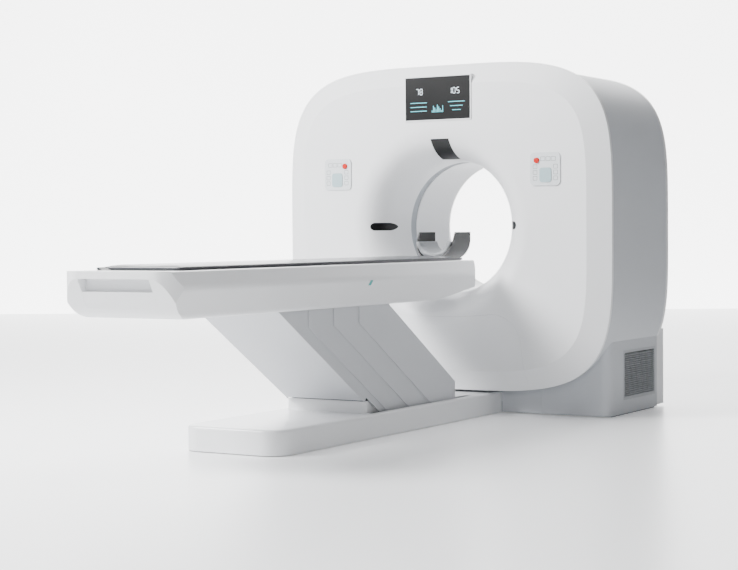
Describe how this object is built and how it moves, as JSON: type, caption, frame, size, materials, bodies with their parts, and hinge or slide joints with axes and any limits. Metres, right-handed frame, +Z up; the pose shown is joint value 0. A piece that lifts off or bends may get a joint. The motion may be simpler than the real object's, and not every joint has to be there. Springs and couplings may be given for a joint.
{
  "type": "ct scanner",
  "caption": "Medical CT scanner: white ring-shaped gantry with a wide patient tunnel, and a lifting patient table on slanted links with a sliding cradle.",
  "frame": {"origin": "on the floor below the middle of the patient tunnel, in the plane of the scan slit's front edge", "axes": "+X to the right seen from the foot of the table, +Y from the table into the tunnel along its axis, +Z up"},
  "size_m": [1.952, 3.651, 1.866],
  "materials": {
    "white_moulding": "satin white moulded plastic",
    "grey_moulding": "light grey moulded plastic",
    "white_casing": "satin white paint",
    "steel_frame": "grey structural paint",
    "bearing_steel": "ground steel",
    "cast_aluminium": "machined",
    "bright_steel": "brushed",
    "dark_window": "gloss black",
    "screen": "gloss black glass",
    "window_film": "grey film",
    "panel": "light grey keypad",
    "stop_red": "gloss red",
    "pad_blue": "soft grey blue",
    "belt_rubber": "matt rubber",
    "carbon": "dark grey laminate",
    "vinyl": "dark grey vinyl",
    "cushion_vinyl": "grey vinyl",
    "black_laminate": "gloss black",
    "lamp": "teal lens",
    "grille_grey": "grey grille",
    "roller_rubber": "matt rubber"
  },
  "bodies": {
    "machine": {"gantry_base": "steel_frame", "stator_frame": "steel_frame", "bearing_outer_race": "bearing_steel", "bearing_balls": "bearing_steel", "drive_motor": "steel_frame", "drive_belt": "belt_rubber", "front_cover": "white_moulding", "docking_panel": "white_moulding", "base_front_panel": "white_casing", "left_casing": "white_casing", "right_casing": "white_casing", "left_grille": "grille_grey", "right_grille": "grille_grey", "rear_cover": "white_moulding", "scan_window": "window_film", "display_housing": "grey_moulding", "display_glass": "screen", "left_control_panel": "panel", "right_control_panel": "panel", "top_window": "dark_window", "left_laser_window": "dark_window", "right_laser_window": "dark_window", "table_base_frame": "steel_frame", "table_base_cover": "white_moulding", "lift_actuator_barrel": "steel_frame"},
    "rotor": {"rotor_drum": "cast_aluminium", "bearing_inner_race": "bearing_steel", "xray_tube": "bright_steel", "collimator": "cast_aluminium", "hv_generator": "steel_frame", "detector_arc": "steel_frame", "slip_ring": "black_laminate"},
    "motor_pulley": {"motor_pulley": "bright_steel"},
    "left_stop": {"left_stop_button": "stop_red"},
    "right_stop": {"right_stop_button": "stop_red"},
    "left_pad": {"left_table_pad": "pad_blue"},
    "right_pad": {"right_table_pad": "pad_blue"},
    "foot_arm": {"foot_arm": "cast_aluminium"},
    "gantry_arm": {"gantry_arm": "cast_aluminium"},
    "foot_cover": {"foot_slope_cover": "white_casing"},
    "slats_1": {"left_slat_1": "white_casing", "right_slat_1": "white_casing"},
    "slats_2": {"left_slat_2": "white_casing", "right_slat_2": "white_casing"},
    "slats_3": {"left_slat_3": "white_casing", "right_slat_3": "white_casing"},
    "gantry_side_cover": {"gantry_slope_cover": "white_casing"},
    "actuator_rod": {"lift_actuator_rod": "bright_steel"},
    "table_top": {"table_frame": "steel_frame", "table_shell": "white_moulding", "foot_cap": "white_moulding", "underside_pan": "white_casing", "indicator_lamp": "lamp", "cradle_motor": "steel_frame"},
    "cradle": {"cradle": "carbon", "mattress": "vinyl", "head_holder": "black_laminate", "head_cushion": "cushion_vinyl"},
    "nose_roller": {"nose_roller": "bright_steel"},
    "drive_wheel": {"drive_wheel": "roller_rubber"}
  },
  "joints": [
    {"name": "rotor_spin", "type": "hinge", "parent": "machine", "child": "rotor", "pos_m": [0, 0.22, 1.005], "axis": [0, 1, 0], "continuous": true},
    {"name": "motor_spin", "type": "hinge", "parent": "machine", "child": "motor_pulley", "pos_m": [0.62, 0.16, 0.385], "axis": [0, 1, 0], "continuous": true},
    {"name": "left_stop_press", "type": "slide", "parent": "machine", "child": "left_stop", "axis": [0, 1, 0], "range_m": [0, 0.004], "stiffness_N_per_m": 900},
    {"name": "left_pad_press", "type": "slide", "parent": "machine", "child": "left_pad", "axis": [0, 1, 0], "range_m": [0, 0.0025], "stiffness_N_per_m": 1800},
    {"name": "right_stop_press", "type": "slide", "parent": "machine", "child": "right_stop", "axis": [0, 1, 0], "range_m": [0, 0.004], "stiffness_N_per_m": 900},
    {"name": "right_pad_press", "type": "slide", "parent": "machine", "child": "right_pad", "axis": [0, 1, 0], "range_m": [0, 0.0025], "stiffness_N_per_m": 1800},
    {"name": "lift", "type": "hinge", "parent": "machine", "child": "foot_arm", "pos_m": [0, -0.975, 0.192], "axis": [-1, 0, 0], "range_deg": [-16, 6]},
    {"name": "gantry_arm_lift", "type": "hinge", "parent": "machine", "child": "gantry_arm", "pos_m": [0, -0.72, 0.192], "axis": [-1, 0, 0], "range_deg": [-16.4, 6.4]},
    {"name": "foot_cover_lift", "type": "hinge", "parent": "machine", "child": "foot_cover", "pos_m": [0, -1.448, 0.192], "axis": [-1, 0, 0], "range_deg": [-16.4, 6.4]},
    {"name": "slats_1_lift", "type": "hinge", "parent": "machine", "child": "slats_1", "pos_m": [0, -1.13076, 0.192], "axis": [-1, 0, 0], "range_deg": [-16.4, 6.4]},
    {"name": "slats_2_lift", "type": "hinge", "parent": "machine", "child": "slats_2", "pos_m": [0, -0.91776, 0.192], "axis": [-1, 0, 0], "range_deg": [-16.4, 6.4]},
    {"name": "slats_3_lift", "type": "hinge", "parent": "machine", "child": "slats_3", "pos_m": [0, -0.64176, 0.192], "axis": [-1, 0, 0], "range_deg": [-16.4, 6.4]},
    {"name": "gantry_cover_lift", "type": "hinge", "parent": "machine", "child": "gantry_side_cover", "pos_m": [0, -0.562, 0.192], "axis": [-1, 0, 0], "range_deg": [-16.4, 6.4]},
    {"name": "table_level", "type": "hinge", "parent": "foot_arm", "child": "table_top", "pos_m": [0, -1.62369, 0.60685], "axis": [-1, 0, 0], "range_deg": [-6.4, 16.4]},
    {"name": "actuator_extend", "type": "slide", "parent": "machine", "child": "actuator_rod", "axis": [0, 1, 0], "range_m": [-0.014, 0.04]},
    {"name": "cradle_slide", "type": "slide", "parent": "table_top", "child": "cradle", "axis": [0, 1, 0], "range_m": [0, 1.5]},
    {"name": "nose_roller_turn", "type": "hinge", "parent": "table_top", "child": "nose_roller", "pos_m": [0, -0.494, 0.7877], "axis": [1, 0, 0], "range_deg": [-4800, 20]},
    {"name": "drive_wheel_turn", "type": "hinge", "parent": "table_top", "child": "drive_wheel", "pos_m": [0, -1.77, 0.7657], "axis": [1, 0, 0], "range_deg": [-2160, 20]}
  ],
  "couplings": [
    {"joint": "motor_spin", "follows": "rotor_spin", "ratio": 14.718},
    {"joint": "gantry_arm_lift", "follows": "lift", "ratio": 1},
    {"joint": "foot_cover_lift", "follows": "lift", "ratio": 1},
    {"joint": "slats_1_lift", "follows": "lift", "ratio": 1},
    {"joint": "slats_2_lift", "follows": "lift", "ratio": 1},
    {"joint": "slats_3_lift", "follows": "lift", "ratio": 1},
    {"joint": "gantry_cover_lift", "follows": "lift", "ratio": 1},
    {"joint": "table_level", "follows": "lift", "ratio": -1},
    {"joint": "actuator_extend", "follows": "lift", "m_per_rad": -0.1189},
    {"joint": "nose_roller_turn", "follows": "cradle_slide", "rad_per_m": -55.556},
    {"joint": "drive_wheel_turn", "follows": "cradle_slide", "rad_per_m": -25}
  ]
}
